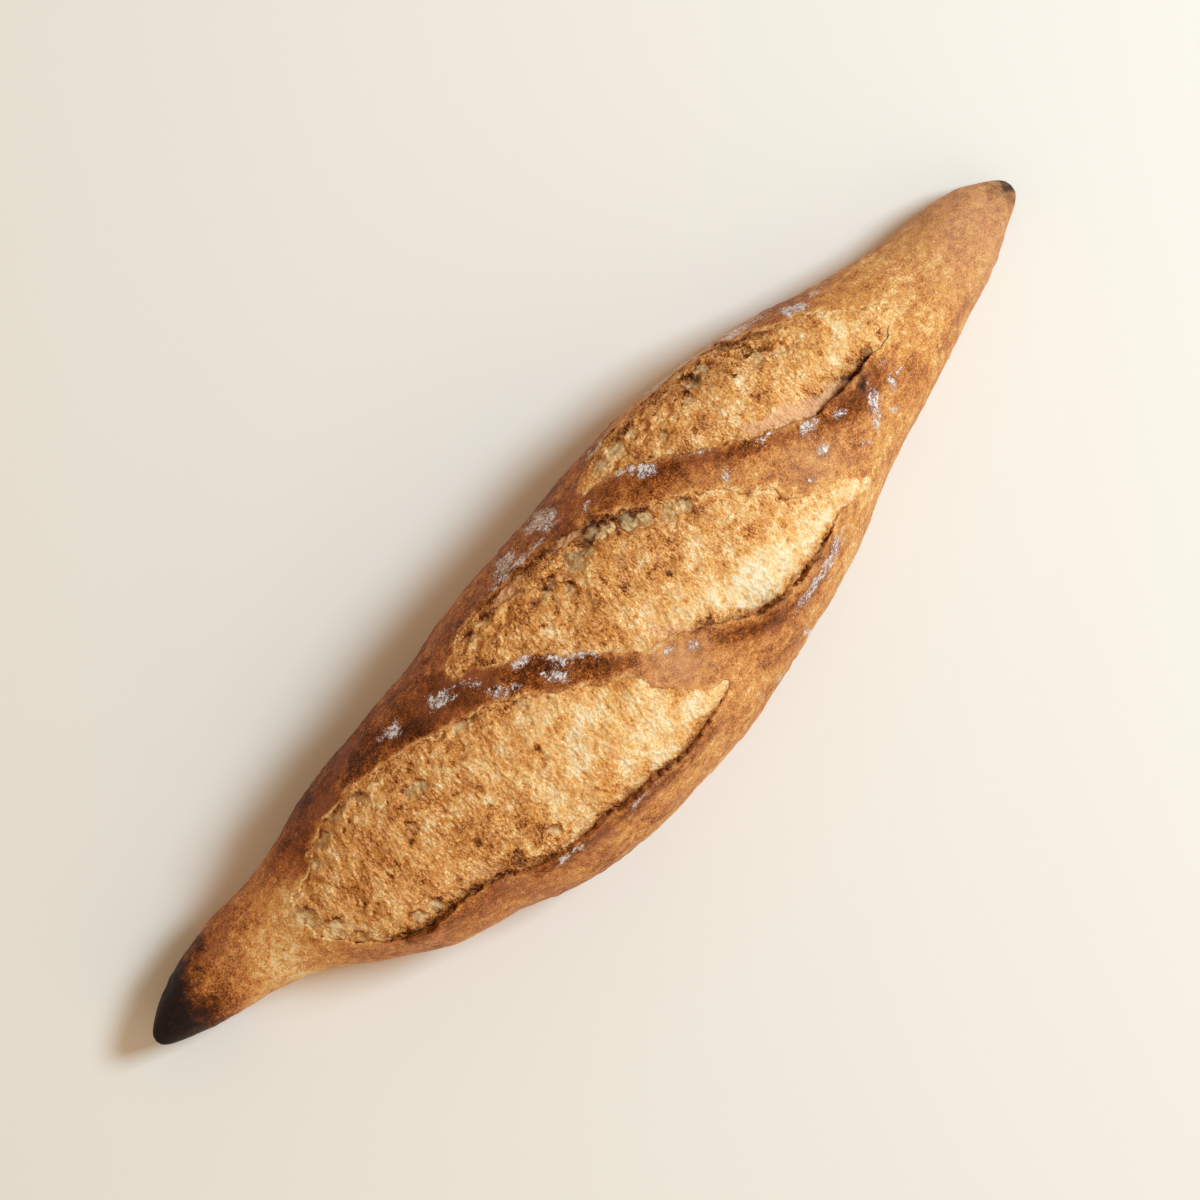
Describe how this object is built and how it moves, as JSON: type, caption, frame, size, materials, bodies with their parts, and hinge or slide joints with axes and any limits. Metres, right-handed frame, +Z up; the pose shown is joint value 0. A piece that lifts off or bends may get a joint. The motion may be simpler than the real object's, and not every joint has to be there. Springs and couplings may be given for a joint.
{
  "type": "baguette",
  "caption": "Short rustic baguette with pointed, darkly baked ends and slanting cuts that have burst open along the top.",
  "frame": {"origin": "middle of the loaf's bounding box on the surface that it lies on", "axes": "+X along the loaf towards its slimmer right-hand tip, +Y away from the side where the lips of the cuts lift, +Z up"},
  "size_m": [0.32, 0.084, 0.0572],
  "materials": {
    "crust": "dry browned bread crust, slightly satin, with torn open crumb in the cuts and a dusting of flour"
  },
  "bodies": {
    "root": {"loaf": "crust"}
  },
  "joints": []
}
